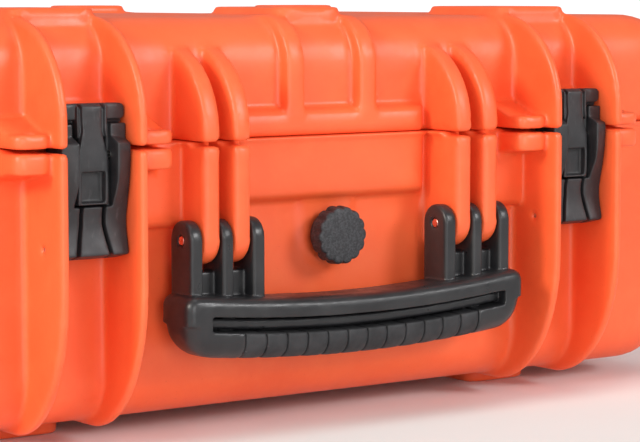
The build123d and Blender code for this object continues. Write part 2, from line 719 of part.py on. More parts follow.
    with BuildPart() as handle_pin:
        with BuildSketch(Plane.YZ.offset(side * HANDLE_PIN_X - HANDLE_PIN_HALF)):
            with Locations((PIN_Y, PIN_Z)):
                Circle(PIN_R)
        extrude(amount=2 * HANDLE_PIN_HALF)
    handle_pin.part.label = f"handle_pin_{side_name}"
    export_step(handle_pin.part, f"parts/handle_pin_{side_name}.step")

    with BuildPart() as hinge_pin:
        with BuildSketch(Plane.YZ.offset(x_mid - HINGE_L / 2)):
            with Locations((HINGE_Y, PART_Z)):
                Circle(HINGE_PIN_R)
        extrude(amount=HINGE_L)
    hinge_pin.part.label = f"hinge_pin_{side_name}"
    export_step(hinge_pin.part, f"parts/hinge_pin_{side_name}.step")

# Purge valve: knob outside, threaded body through the wall, seal ring, membrane and nut inside
LOBES = 13
with BuildPart() as valve_knob:
    with BuildSketch(Plane.XZ.offset(-KNOB_BACK)):
        with Locations((0, VALVE_Z)):
            Circle(KNOB_R)
    extrude(amount=KNOB_BACK - KNOB_FRONT)
    fillet(valve_knob.edges().group_by(Axis.Y)[0], 1.5)
    with BuildSketch(Plane.XZ.offset(-KNOB_BACK)):
        for i in range(LOBES):
            turn = radians(i * 360 / LOBES)
            with Locations((18.2 * sin(turn), VALVE_Z + 18.2 * cos(turn))):
                Circle(3.6)
    extrude(amount=KNOB_BACK - KNOB_FRONT + 1, mode=Mode.SUBTRACT)
    with BuildSketch(Plane.XZ.offset(-KNOB_BACK)):
        with Locations((0, VALVE_Z)):
            Circle(12.3)
    extrude(amount=3.3, mode=Mode.SUBTRACT)
    with BuildSketch(Plane.XZ.offset(130.0)):
        with Locations((0, VALVE_Z)):
            Circle(3.95)
    extrude(amount=-KNOB_BACK - 130.0 + 4)
valve_knob.part.label = "valve_knob"
export_step(valve_knob.part, "parts/valve_knob.step")

with BuildPart() as valve_body:
    with BuildSketch(Plane.XZ.offset(127.0)):
        with Locations((0, VALVE_Z)):
            Circle(BODY_R)
    extrude(amount=15.5)
    with BuildSketch(Plane.XZ.offset(142.4)):
        with Locations((0, VALVE_Z)):
            Circle(11.9)
    extrude(amount=-KNOB_BACK + 3.0 - 142.4)
    with BuildSketch(Plane.XZ.offset(126.0)):
        with Locations((0, VALVE_Z)):
            Circle(4.0)
    extrude(amount=30, mode=Mode.SUBTRACT)
    with BuildSketch(Plane.XZ.offset(126.0)):
        with Locations((0, VALVE_Z)):
            Circle(7.0)
    extrude(amount=2.5, mode=Mode.SUBTRACT)
valve_body.part.label = "valve_body"
export_step(valve_body.part, "parts/valve_body.step")

with BuildPart() as valve_o_ring:
    with BuildSketch(Plane.YZ):
        with Locations((-(142.4 + 141.0) / 2, VALVE_Z + 9.8)):
            Circle(0.69)
    revolve(axis=Axis((0, 0, VALVE_Z), (0, 1, 0)))
valve_o_ring.part.label = "valve_o_ring"
export_step(valve_o_ring.part, "parts/valve_o_ring.step")

with BuildPart() as valve_membrane:
    with BuildSketch(Plane.XZ.offset(127.6)):
        with Locations((0, VALVE_Z)):
            Circle(6.9)
    extrude(amount=0.8)
valve_membrane.part.label = "valve_membrane"
export_step(valve_membrane.part, "parts/valve_membrane.step")

with BuildPart() as valve_nut:
    with BuildSketch(Plane.XZ.offset(130.8)):
        with Locations((0, VALVE_Z)):
            RegularPolygon(12.5, 6)
            Circle(BODY_R + RUN, mode=Mode.SUBTRACT)
    extrude(amount=4.1)
valve_nut.part.label = "valve_nut"
export_step(valve_nut.part, "parts/valve_nut.step")
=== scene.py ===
import json
from math import cos, pi, radians, sin

import bpy
import numpy as np
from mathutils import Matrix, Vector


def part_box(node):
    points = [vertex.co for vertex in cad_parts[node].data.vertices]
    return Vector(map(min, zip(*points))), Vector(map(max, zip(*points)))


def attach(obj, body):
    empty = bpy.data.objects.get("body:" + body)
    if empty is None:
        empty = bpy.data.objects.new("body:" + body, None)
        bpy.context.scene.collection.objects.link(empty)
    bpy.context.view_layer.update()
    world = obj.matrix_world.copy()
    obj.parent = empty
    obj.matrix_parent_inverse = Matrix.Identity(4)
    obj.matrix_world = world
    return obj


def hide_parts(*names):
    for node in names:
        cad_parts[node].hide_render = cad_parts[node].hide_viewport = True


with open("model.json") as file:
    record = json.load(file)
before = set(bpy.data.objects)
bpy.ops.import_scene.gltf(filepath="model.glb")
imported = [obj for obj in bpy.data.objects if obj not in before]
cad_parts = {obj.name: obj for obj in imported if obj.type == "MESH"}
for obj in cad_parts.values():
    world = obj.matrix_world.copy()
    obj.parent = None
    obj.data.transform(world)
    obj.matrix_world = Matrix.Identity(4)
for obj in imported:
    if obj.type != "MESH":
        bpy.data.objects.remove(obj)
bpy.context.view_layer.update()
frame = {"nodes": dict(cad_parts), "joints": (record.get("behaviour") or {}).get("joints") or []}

import openvdb
from mathutils import Vector

# Everything that is modelled here is worked out in millimetres and put into Blender in metres.
MM = 0.001
nodes = frame["nodes"]
joints = {joint["name"]: joint for joint in frame["joints"]}


def box_mm(node):
    """A CAD node's lowest and highest corners, in mm."""
    low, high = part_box(node)
    return np.array(low) / MM, np.array(high) / MM


def joint_mm(name):
    """A point on a joint's axis, in mm."""
    return np.array(joints[name]["pos_m"]) / MM


# ---------------------------------------------------------------- camera, light and floor
CAMERA_AT = (-0.6949, -1.127, 0.222)
CAMERA_YAW = -35.0
CAMERA_PITCH = -5.54
CAMERA_LENS = 130.3
FILL = 0.30
PAPER_SEEN = 1.1


def make_camera():
    data = bpy.data.cameras.new("camera")
    data.lens = CAMERA_LENS
    data.sensor_width = 36.0
    camera = bpy.data.objects.new("camera", data)
    camera.location = CAMERA_AT
    camera.rotation_euler = (radians(90 + CAMERA_PITCH), 0, radians(CAMERA_YAW))
    bpy.context.scene.collection.objects.link(camera)
    bpy.context.scene.camera = camera


def area_light(name, at, aim, size, power, colour=(1, 1, 1)):
    data = bpy.data.lights.new(name, "AREA")
    data.shape = "RECTANGLE"
    data.size, data.size_y = size
    data.energy = power
    data.color = colour
    lamp = bpy.data.objects.new(name, data)
    lamp.location = at
    direction = np.array(aim) - np.array(at)
    lamp.rotation_euler = Vector(direction).to_track_quat("-Z", "Y").to_euler()
    bpy.context.scene.collection.objects.link(lamp)


def sun(name, azimuth, height, strength, softness, colour=(1, 1, 1)):
    """Even, soft light from a compass direction; azimuth 0 is the case's front and 90 its right side."""
    data = bpy.data.lights.new(name, "SUN")
    data.energy = strength
    data.angle = radians(softness)
    data.color = colour
    lamp = bpy.data.objects.new(name, data)
    lamp.rotation_euler = (radians(90 - height), 0, radians(azimuth))
    bpy.context.scene.collection.objects.link(lamp)


def make_light():
    """White paper all round: bright where the camera sees it, dimmer as a fill light on the case."""
    world = bpy.data.worlds.new("studio")
    world.use_nodes = True
    tree = world.node_tree
    background = tree.nodes["Background"]
    background.inputs["Color"].default_value = (1, 1, 1, 1)
    path = tree.nodes.new("ShaderNodeLightPath")
    level = tree.nodes.new("ShaderNodeMapRange")
    level.inputs["To Min"].default_value = FILL
    level.inputs["To Max"].default_value = PAPER_SEEN
    tree.links.new(path.outputs["Is Camera Ray"], level.inputs["Value"])
    tree.links.new(level.outputs["Result"], background.inputs["Strength"])
    bpy.context.scene.world = world
    bpy.context.scene.view_settings.view_transform = "Standard"
    sun("left", -82, 24, 1.9, 16, (1.0, 0.94, 0.82))
    sun("right", 30, 26, 1.35, 18)
    sun("low", -16, 10, 0.95, 26)
    sun("top", 10, 80, 0.35, 30)
    area_light("strip", (-1.3, -0.9, 0.75), (0, 0, 0.12), (0.5, 1.2), 6)


# ---------------------------------------------------------------- materials
class Shader:
    """A node material with a Principled shader, written as a chain of small calls."""

    def __init__(self, name, colour, roughness, metallic=0.0, specular=0.5):
        self.material = bpy.data.materials.new(name)
        self.material.use_nodes = True
        self.tree = self.material.node_tree
        self.shader = self.tree.nodes["Principled BSDF"]
        self.set("Base Color", (*colour, 1))
        self.set("Roughness", roughness)
        self.set("Metallic", metallic)
        self.set("Specular IOR Level", specular)
        self.place = self.node("ShaderNodeTexCoord").outputs["Object"]

    def set(self, socket, value):
        self.shader.inputs[socket].default_value = value

    def node(self, kind, **values):
        made = self.tree.nodes.new(kind)
        for key, value in values.items():
            setattr(made, key, value)
        return made

    def join(self, source, target):
        self.tree.links.new(source, target)

    def noise(self, scale, detail=3.0, roughness=0.5, stretch=(1, 1, 1)):
        mapping = self.node("ShaderNodeMapping")
        mapping.inputs["Scale"].default_value = stretch
        self.join(self.place, mapping.inputs["Vector"])
        made = self.node("ShaderNodeTexNoise")
        made.inputs["Scale"].default_value = scale
        made.inputs["Detail"].default_value = detail
        made.inputs["Roughness"].default_value = roughness
        self.join(mapping.outputs["Vector"], made.inputs["Vector"])
        return made.outputs["Fac"]

    def spots(self, scale):
        made = self.node("ShaderNodeTexVoronoi")
        made.inputs["Scale"].default_value = scale
        self.join(self.place, made.inputs["Vector"])
        return made.outputs["Distance"]

    def ramp(self, source, low, high, to_low=0.0, to_high=1.0):
        made = self.node("ShaderNodeMapRange")
        for socket, value in zip(("From Min", "From Max", "To Min", "To Max"), (low, high, to_low, to_high)):
            made.inputs[socket].default_value = value
        self.join(source, made.inputs["Value"])
        return made.outputs["Result"]

    def edges(self, low, high):
        """How sharp the surface's convex edges are, from the mesh's own shape."""
        made = self.node("ShaderNodeNewGeometry")
        return self.ramp(made.outputs["Pointiness"], low, high)

    def times(self, one, two):
        made = self.node("ShaderNodeMath", operation="MULTIPLY")
        self.join(one, made.inputs[0])
        self.join(two, made.inputs[1])
        return made.outputs[0]

    def mix(self, amount, base, over):
        """A colour between base and over; either may be a colour or a socket."""
        made = self.node("ShaderNodeMix", data_type="RGBA")
        self.join(amount, made.inputs["Factor"])
        for index, value in ((6, base), (7, over)):
            if isinstance(value, tuple):
                made.inputs[index].default_value = (*value, 1)
            else:
                self.join(value, made.inputs[index])
        return made.outputs[2]

    def colour(self, source):
        self.join(source, self.shader.inputs["Base Color"])

    def roughness(self, source):
        self.join(source, self.shader.inputs["Roughness"])

    def bump(self, *layers):
        """Bumps from (height socket, distance in mm) layers, finest last."""
        normal = None
        for height, depth in layers:
            made = self.node("ShaderNodeBump")
            made.inputs["Strength"].default_value = 1.0
            made.inputs["Distance"].default_value = depth * MM
            self.join(height, made.inputs["Height"])
            if normal:
                self.join(normal, made.inputs["Normal"])
            normal = made.outputs["Normal"]
        self.join(normal, self.shader.inputs["Normal"])


def shell_plastic():
    """Orange moulded plastic: a fine grain, faint flow marks, dust specks and paler edges."""
    s = Shader("shell_plastic", (0.90, 0.115, 0.030), 0.42, specular=0.5)
    flow = s.ramp(s.noise(9, 4, 0.6), 0.35, 0.7)
    body = s.mix(flow, (0.88, 0.112, 0.030), (0.94, 0.138, 0.040))
    cloud = s.ramp(s.noise(70, 3, 0.6), 0.45, 0.75, 0.0, 0.35)
    body = s.mix(cloud, body, (0.95, 0.165, 0.050))
    specks = s.ramp(s.noise(950, 2, 0.5), 0.68, 0.76, 0.0, 0.30)
    body = s.mix(specks, body, (0.50, 0.060, 0.020))
    worn = s.times(s.edges(0.53, 0.62), s.ramp(s.noise(130, 4, 0.7), 0.40, 0.62, 0.1, 0.6))
    body = s.mix(worn, body, (0.96, 0.25, 0.08))
    s.colour(body)
    s.roughness(s.ramp(s.noise(45, 4, 0.65), 0.3, 0.75, 0.34, 0.52))
    s.bump((s.noise(22, 2, 0.5), 0.25), (s.noise(420, 3, 0.6), 0.05), (s.noise(1700, 2, 0.5), 0.03))
    return s.material


def latch_plastic():
    """Black moulded plastic of the latches, satin with greyed edges and fine scuffs."""
    s = Shader("latch_plastic", (0.045, 0.045, 0.048), 0.45)
    tone = s.mix(s.ramp(s.noise(60, 4, 0.6), 0.35, 0.7), (0.016, 0.016, 0.018), (0.034, 0.033, 0.036))
    worn = s.times(s.edges(0.52, 0.60), s.ramp(s.noise(300, 4, 0.7), 0.38, 0.62, 0.15, 0.9))
    tone = s.mix(worn, tone, (0.10, 0.10, 0.105))
    scuffs = s.ramp(s.noise(520, 3, 0.6, (1, 1, 0.22)), 0.60, 0.74, 0.0, 0.4)
    s.colour(s.mix(scuffs, tone, (0.08, 0.08, 0.085)))
    s.roughness(s.ramp(s.noise(150, 4, 0.6), 0.3, 0.7, 0.36, 0.56))
    s.bump((s.noise(90, 3, 0.5), 0.10), (s.noise(1100, 3, 0.6), 0.035))
    return s.material


def handle_plastic():
    """Black plastic of the handle, smoother and shinier than the latches."""
    s = Shader("handle_plastic", (0.035, 0.035, 0.037), 0.34)
    tone = s.mix(s.ramp(s.noise(40, 4, 0.6), 0.35, 0.7), (0.012, 0.012, 0.014), (0.026, 0.026, 0.028))
    worn = s.times(s.edges(0.52, 0.60), s.ramp(s.noise(240, 4, 0.7), 0.40, 0.62, 0.1, 0.8))
    s.colour(s.mix(worn, tone, (0.08, 0.08, 0.085)))
    s.roughness(s.ramp(s.noise(120, 4, 0.6), 0.3, 0.7, 0.27, 0.44))
    s.bump((s.noise(60, 3, 0.5), 0.12), (s.noise(700, 3, 0.6), 0.04))
    return s.material


def grip_rubber():
    """Matte rubber of the grip, with a fine pebble and dusty high spots."""
    s = Shader("grip_rubber", (0.05, 0.05, 0.052), 0.6, specular=0.4)
    tone = s.mix(s.ramp(s.noise(80, 4, 0.6), 0.35, 0.7), (0.016, 0.016, 0.018), (0.034, 0.034, 0.037))
    worn = s.times(s.edges(0.51, 0.58), s.ramp(s.noise(260, 4, 0.7), 0.38, 0.62, 0.1, 0.7))
    s.colour(s.mix(worn, tone, (0.085, 0.085, 0.09)))
    s.roughness(s.ramp(s.noise(200, 3, 0.6), 0.3, 0.7, 0.50, 0.70))
    s.bump((s.spots(1500), 0.05), (s.noise(900, 3, 0.6), 0.04))
    return s.material


def knob_plastic():
    """Black plastic with a coarse spark-eroded texture, as on the valve's knob."""
    s = Shader("knob_plastic", (0.05, 0.05, 0.055), 0.5)
    tone = s.mix(s.ramp(s.noise(900, 3, 0.6), 0.40, 0.65), (0.016, 0.016, 0.019), (0.048, 0.048, 0.054))
    worn = s.edges(0.52, 0.62)
    s.colour(s.mix(s.times(worn, s.noise(300)), tone, (0.10, 0.10, 0.11)))
    s.roughness(s.ramp(s.noise(400, 3, 0.6), 0.3, 0.7, 0.40, 0.60))
    s.bump((s.noise(350, 4, 0.7), 0.26), (s.noise(1400, 2, 0.6), 0.05))
    return s.material


def steel(name, colour=(0.62, 0.60, 0.58)):
    """Drawn steel, brushed along its length, with slightly darker smears."""
    s = Shader(name, colour, 0.3, metallic=1.0)
    dark = tuple(0.72 * c for c in colour)
    s.colour(s.mix(s.ramp(s.noise(300, 4, 0.6, (0.1, 1, 1)), 0.3, 0.7), colour, dark))
    s.roughness(s.ramp(s.noise(700, 3, 0.6, (0.05, 1, 1)), 0.3, 0.7, 0.20, 0.42))
    s.bump((s.noise(2200, 2, 0.5, (0.05, 1, 1)), 0.01))
    return s.material


def seal_rubber():
    """Soft black seal rubber with a dusty bloom."""
    s = Shader("seal_rubber", (0.03, 0.03, 0.03), 0.7, specular=0.35)
    s.colour(s.mix(s.ramp(s.noise(120, 4, 0.6), 0.35, 0.7), (0.022, 0.022, 0.022), (0.05, 0.05, 0.05)))
    s.roughness(s.ramp(s.noise(300, 3, 0.6), 0.3, 0.7, 0.60, 0.80))
    s.bump((s.noise(1200, 3, 0.6), 0.03))
    return s.material


def membrane_cloth():
    """White porous membrane."""
    s = Shader("membrane", (0.8, 0.8, 0.78), 0.8, specular=0.3)
    s.colour(s.mix(s.ramp(s.spots(2500), 0.0, 0.6), (0.70, 0.70, 0.68), (0.86, 0.86, 0.84)))
    s.bump((s.spots(2500), 0.05))
    return s.material


def floor_paper():
    """Plain pale studio paper."""
    s = Shader("floor_paper", (0.86, 0.86, 0.86), 0.85, specular=0.2)
    s.colour(s.mix(s.ramp(s.noise(3, 3, 0.5), 0.3, 0.7), (0.85, 0.85, 0.85), (0.88, 0.88, 0.88)))
    s.bump((s.noise(500, 3, 0.6), 0.05))
    return s.material


# ---------------------------------------------------------------- distance fields
MARGIN = 4
BAND = 4.0


class Field:
    """Distances to a solid's surface on a regular grid, in mm, negative inside it."""

    def __init__(self, low, high, voxel):
        self.voxel = voxel
        self.far = BAND * voxel
        self.first = np.floor(np.array(low) / voxel).astype(int) - MARGIN
        last = np.ceil(np.array(high) / voxel).astype(int) + MARGIN
        axes = [np.arange(a, b + 1, dtype=np.float32) * voxel for a, b in zip(self.first, last)]
        self.shape = [len(axis) for axis in axes]
        self.x, self.y, self.z = np.ix_(*axes)
        self.d = np.full(self.shape, self.far, np.float32)

    def node(self, name):
        """The distances to a CAD node's surface."""
        mesh = nodes[name].data
        mesh.calc_loop_triangles()
        points = np.zeros(len(mesh.vertices) * 3, np.float32)
        mesh.vertices.foreach_get("co", points)
        corners = np.zeros(len(mesh.loop_triangles) * 3, np.int32)
        mesh.loop_triangles.foreach_get("vertices", corners)
        grid = openvdb.FloatGrid.createLevelSetFromPolygons(
            points.reshape(-1, 3).astype(np.float64) / MM,
            triangles=corners.reshape(-1, 3).astype(np.uint32),
            transform=openvdb.createLinearTransform(voxelSize=self.voxel),
            halfWidth=BAND,
        )
        out = np.empty(self.shape, np.float32)
        grid.copyToArray(out, ijk=tuple(int(i) for i in self.first))
        return out

    def add(self, distance):
        self.d = np.minimum(self.d, distance).astype(np.float32)

    def cut(self, distance):
        self.d = np.maximum(self.d, -distance).astype(np.float32)

    def keep(self, distance):
        self.d = np.maximum(self.d, distance).astype(np.float32)

    def engrave(self, outline, half_width, depth):
        """A groove of even depth that follows outline, a distance to its middle line."""
        self.cut(np.maximum(outline - half_width, -self.d - depth))

    def soften(self, radius):
        """Rounds every edge and corner, inside and outside ones alike."""
        self.d = np.clip(self.d, -self.far, self.far)
        sigma = radius / self.voxel
        reach = int(3 * sigma + 0.5)
        weights = np.exp(-np.arange(-reach, reach + 1) ** 2 / (2 * sigma * sigma))
        weights /= weights.sum()
        for axis in range(3):
            pad = [(reach, reach) if i == axis else (0, 0) for i in range(3)]
            padded = np.pad(self.d, pad, mode="edge")
            total = np.zeros_like(self.d)
            for start, weight in enumerate(weights):
                part = [slice(None)] * 3
                part[axis] = slice(start, start + self.shape[axis])
                total += np.float32(weight) * padded[tuple(part)]
            self.d = total

    def mesh(self, name, material, adaptivity=0.1):
        """A smooth-shaded Blender object of the field's surface."""
        grid = openvdb.FloatGrid(self.far)
        grid.transform = openvdb.createLinearTransform(voxelSize=self.voxel)
        values = np.ascontiguousarray(np.clip(self.d, -self.far, self.far), dtype=np.float32)
        grid.copyFromArray(values, ijk=tuple(int(i) for i in self.first), tolerance=1e-6)
        points, triangles, quads = grid.convertToPolygons(isovalue=0.0, adaptivity=adaptivity)
        points = np.array(points, dtype=np.float32) * MM
        triangles = np.array(triangles, dtype=np.int32).reshape(-1, 3)[:, ::-1]
        quads = np.array(quads, dtype=np.int32).reshape(-1, 4)[:, ::-1]
        mesh = bpy.data.meshes.new(name)
        mesh.vertices.add(len(points))
        mesh.vertices.foreach_set("co", points.ravel())
        corners = np.concatenate([triangles.ravel(), quads.ravel()])
        mesh.loops.add(len(corners))
        mesh.loops.foreach_set("vertex_index", corners)
        sizes = np.concatenate([np.full(len(triangles), 3), np.full(len(quads), 4)])
        mesh.polygons.add(len(sizes))
        mesh.polygons.foreach_set("loop_start", np.concatenate([[0], np.cumsum(sizes)[:-1]]))
        mesh.polygons.foreach_set("use_smooth", np.ones(len(sizes), bool))
        mesh.update(calc_edges=True)
        mesh.validate()
        mesh.materials.append(material)
        piece = bpy.data.objects.new(name, mesh)
        bpy.context.scene.collection.objects.link(piece)
        return piece


def rounded(inside, along, radius):
    """Joins a flat outline's distance and the distance along its depth into one rounded solid."""
    a = inside + radius
    b = along + radius
    return np.minimum(np.maximum(a, b), 0) + np.hypot(np.maximum(a, 0), np.maximum(b, 0)) - radius


def rectangle(u, v, middle, half, radius):
    """Distance to a rectangle with rounded corners; radius may be an array."""
    a = np.abs(u - middle[0]) - half[0] + radius
    b = np.abs(v - middle[1]) - half[1] + radius
    return np.minimum(np.maximum(a, b), 0) + np.hypot(np.maximum(a, 0), np.maximum(b, 0)) - radius


def segment(u, v, start, end):
    """Distance to a line between two points of a plane."""
    du, dv = end[0] - start[0], end[1] - start[1]
    share = np.clip(((u - start[0]) * du + (v - start[1]) * dv) / (du * du + dv * dv), 0, 1)
    return np.hypot(u - start[0] - share * du, v - start[1] - share * dv)


def finish_piece(piece, body, slot, *replaced):
    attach(piece, body)
    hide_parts(*replaced)


# ---------------------------------------------------------------- shells
SHELL_VOXEL = 1.0
SHELL_SOFT = 1.15


def make_shell(name, body, members, material):
    """One moulding from its CAD nodes, with every rib, band and lug blended into the walls."""
    boxes = [box_mm(node) for node in members]
    low = np.min([b[0] for b in boxes], axis=0)
    high = np.max([b[1] for b in boxes], axis=0)
    field = Field(low, high, SHELL_VOXEL)
    for node in members:
        field.add(field.node(node))
    field.soften(SHELL_SOFT)
    finish_piece(field.mesh(name, material), body, "shell_plastic", *members)


# ---------------------------------------------------------------- handle
BAR_SOFT = 0.35
BAR_HEIGHT = 30.8
BAR_SAG = 4.6
SAG_X = 92.0
BAR_ROUND = 5.0
BAR_LOW_ROUND = 9.5
BAR_LOW_R = 16.0
BAR_HIGH_R = 7.0
BOW = 2.0
PRONGS = [(57.0, 64.5), (75.6, 82.4), (93.6, 101.0)]
PRONG_ROUND = 1.9
SLOT_Z = (13.6, 21.2)
SLOT_X = 92.5
LEDGE_Z = (15.0, 20.0)
LEDGE_X = 92.5
LEDGE_FRONT = 6.0
GRIP_X = 73.8
GRIP_DEPTH = 13.2
GRIP_PITCH = 12.3
SEAM = 0.15
SLOT_DEPTH = 13.0
LEDGE_DEPTH = 12.0
PRONG_R = 10.0
PIN_BORE_R = 2.6
GROOVES = 11


def bar_space(field, low):
    """The bar's own depth and height: zero at its front and bottom, following its sag and bow."""
    depth = field.y + 0 * field.x - low[1] + BOW * (1 - (field.x / SAG_X) ** 2) - BOW / 2
    height = field.z - low[2] - BAR_SAG * (field.x / SAG_X) ** 2
    return depth, height


def bar_distance(field, low, high):
    """A long bar with puffed edges and large lower corners."""
    depth, height = bar_space(field, low)
    half_y = (high[1] - low[1]) / 2
    corner = np.where(height < BAR_HEIGHT / 2, BAR_LOW_R, BAR_HIGH_R)
    end = high[0] + 0 * height
    face = rectangle(field.x, height, (0, BAR_HEIGHT / 2), (end, BAR_HEIGHT / 2), corner)
    radius = np.where(height < BAR_HEIGHT / 2, BAR_LOW_ROUND, BAR_ROUND)
    return rounded(face, np.abs(depth - half_y) - half_y, radius)


def make_handle(plastic, rubber):
    """The handle's frame with its six prongs and front slot, and the grooved soft roll below the slot."""
    low, high = box_mm("handle_frame")
    pin = joint_mm("handle_swing")
    field = Field(low - 2, high + 2, 0.6)
    depth, height = bar_space(field, low)
    frame_d = bar_distance(field, low, high)
    slot = rectangle(field.x, height, (0, sum(SLOT_Z) / 2), (SLOT_X, (SLOT_Z[1] - SLOT_Z[0]) / 2), 1.2)
    slot = np.maximum(slot, depth - SLOT_DEPTH)
    ledge_half = (LEDGE_Z[1] - LEDGE_Z[0]) / 2
    ledge = rectangle(field.x, height, (0, sum(LEDGE_Z) / 2), (LEDGE_X, ledge_half), 1.2)
    ledge = rounded(ledge, np.abs(depth - LEDGE_FRONT - LEDGE_DEPTH / 2) - LEDGE_DEPTH / 2, 1.2)
    grip_zone = np.maximum(np.abs(field.x) - GRIP_X, height - SLOT_Z[0])
    grip_zone = np.maximum(grip_zone, depth - GRIP_DEPTH)
    frame_d = np.minimum(np.maximum(frame_d, -slot), ledge)
    field.add(np.maximum(frame_d, -(grip_zone - SEAM)))
    for side in (-1, 1):
        for x0, x1 in PRONGS:
            arm = segment(field.y, field.z, (pin[1], pin[2]), (pin[1], low[2] + 24)) - PRONG_R
            across = np.abs(field.x - side * (x0 + x1) / 2) - (x1 - x0) / 2
            field.add(rounded(arm, across, PRONG_ROUND))
        web_x = side * (PRONGS[0][0] + PRONGS[2][1]) / 2
        web_half = (PRONGS[2][1] - PRONGS[0][0]) / 2
        web = rectangle(field.x, field.z, (web_x, pin[2] - 24.0), (web_half, 8.0), 1.0)
        field.add(rounded(web, np.abs(field.y - (pin[1] + 3.0)) - 5.0, 1.0))
    field.cut(np.maximum(np.hypot(field.y - pin[1], field.z - pin[2]) - PIN_BORE_R, np.abs(field.x) - 120))
    field.soften(BAR_SOFT)
    piece = field.mesh("handle_frame_moulding", plastic, 0.05)
    finish_piece(piece, "handle", "handle_plastic", "handle_frame")

    grip_low = (-GRIP_X, low[1] - 2, low[2] - 1)
    grip_high = (GRIP_X, low[1] + GRIP_DEPTH + 2, low[2] + 20)
    grip = Field(grip_low, grip_high, 0.4)
    depth, height = bar_space(grip, low)
    bulge = np.abs(np.mod(grip.x / GRIP_PITCH, 1.0) - 0.5) * 2
    bar = bar_distance(grip, low, high) + 0.45 * bulge**5
    zone = np.maximum(np.abs(grip.x) - GRIP_X, height - (SLOT_Z[0] - SEAM))
    grip.add(np.maximum(bar, np.maximum(zone, depth - GRIP_DEPTH)))
    grip.soften(0.5)
    for i in range(-(GROOVES // 2), GROOVES // 2 + 1):
        grip.engrave(np.abs(grip.x - i * GRIP_PITCH) + 0 * grip.y + 0 * grip.z, 0.45, 1.1)
    grip.soften(0.25)
    finish_piece(grip.mesh("handle_grip_roll", rubber, 0.05), "handle", "grip_rubber", "handle_grip")


# ---------------------------------------------------------------- latches
LATCH_VOXEL = 0.35
LATCH_SOFT = 0.38
POCKET_DEPTH = 3.6
STEP_DEPTH = 4.2
# Painted shade: thickness of the black sheet set behind each claw's T arms, where there is only shadow.
SHADE_SHEET_THICK = 2.0


def make_lever(side, plastic):
    """The lever: two crested rails beside the claw, and a wavy plate with two grooves below it."""
    node = f"latch_lever_{side}"
    low, high = box_mm(node)
    middle = (low[0] + high[0]) / 2
    field = Field(low, high, LATCH_VOXEL)
    field.add(field.node(node))
    across = field.x - middle
    for sign in (-1, 1):
        line = segment(across, field.z, (sign * 6.1, 123.5), (sign * 6.2, 113.0))
        line = np.minimum(line, segment(across, field.z, (sign * 6.2, 113.0), (sign * 9.8, low[2] - 1)))
        field.engrave(line + np.maximum(field.y - (low[1] + 12.0), 0), 0.95, 1.5)
    outline = rectangle(across, field.z, (0, low[2] + 50.0), ((high[0] - low[0]) / 2, 50.0), 4.5)
    field.keep(outline + 0 * field.y)
    field.soften(LATCH_SOFT)
    piece = field.mesh(f"latch_lever_{side}_moulding", plastic, 0.04)
    finish_piece(piece, f"lever_{side}", "latch_plastic", node)


def make_claw(side, plastic):
    """The claw: a T with a raised middle between two grooves, a black sheet behind its arms that stands in
    for the shadow there (painted shade), and a pocket.
    """
    node = f"latch_claw_{side}"
    low, high = box_mm(node)
    middle = (low[0] + high[0]) / 2
    field = Field(low, high, LATCH_VOXEL)
    field.add(field.node(node))
    across = field.x - middle
    for sign in (-1, 1):
        line = segment(across, field.z, (sign * 6.3, high[2] + 1), (sign * 6.0, 158.0))
        line = np.minimum(line, segment(across, field.z, (sign * 6.0, 158.0), (sign * 8.6, 147.5)))
        field.engrave(line + np.maximum(field.y - (low[1] + 6.0), 0), 0.8, 1.3)
    # Painted shade: a thin black sheet fills the gap behind the T's arms, a gap that is only shadow.
    shade_sheet = rectangle(np.abs(across), field.z, (13.4, high[2] - 8.4), (5.1, 1.2), 0.4)
    field.add(np.maximum(shade_sheet, np.abs(field.y - (high[1] - 3.0)) - SHADE_SHEET_THICK / 2))
    pocket = rectangle(across, field.z, (0, low[2] + 8.6), (6.4, 7.4), 0.8)
    field.cut(np.maximum(pocket, field.y - (low[1] + POCKET_DEPTH)))
    step = rectangle(across, field.z, (0, low[2] + 4.0), (4.2, 2.2), 0.6)
    field.cut(np.maximum(step, field.y - (low[1] + STEP_DEPTH)))
    field.soften(LATCH_SOFT)
    piece = field.mesh(f"latch_claw_{side}_moulding", plastic, 0.04)
    finish_piece(piece, f"claw_{side}", "latch_plastic", node)


# ---------------------------------------------------------------- valve
LOBES = 14
LOBE_DEPTH = 1.3
CAP_DEPTH = 9.2
SKIRT_IN_R = 12.3
STEM_R = 3.95


def make_knob(plastic):
    """The valve's knob: a hollow scalloped cap on a stem."""
    low, high = box_mm("valve_knob")
    axis_z = joint_mm("valve_turn")[2]
    field = Field(low, high, 0.3)
    reach = np.hypot(field.x, field.z - axis_z)
    turn = np.arctan2(field.x, field.z - axis_z)
    rim = low[1] + CAP_DEPTH
    scallop = LOBE_DEPTH * (1 - np.abs(np.sin(LOBES * turn / 2))) ** 1.5
    edge = high[0] - 0.7 * (rim - field.y) / CAP_DEPTH - scallop
    dome = 0.004 * np.maximum(reach - 4, 0) ** 2
    head = rounded(reach - edge, np.abs(field.y - (low[1] + rim) / 2) - (rim - low[1]) / 2 + dome, 1.2)
    field.add(head)
    field.cut(np.maximum(reach - SKIRT_IN_R, (rim - 3.3) - field.y))
    field.add(np.maximum(reach - STEM_R, np.maximum(field.y - high[1], (low[1] + 2) - field.y)))
    field.soften(0.3)
    finish_piece(field.mesh("valve_knob_cap", plastic, 0.04), "knob", "knob_plastic", "valve_knob")


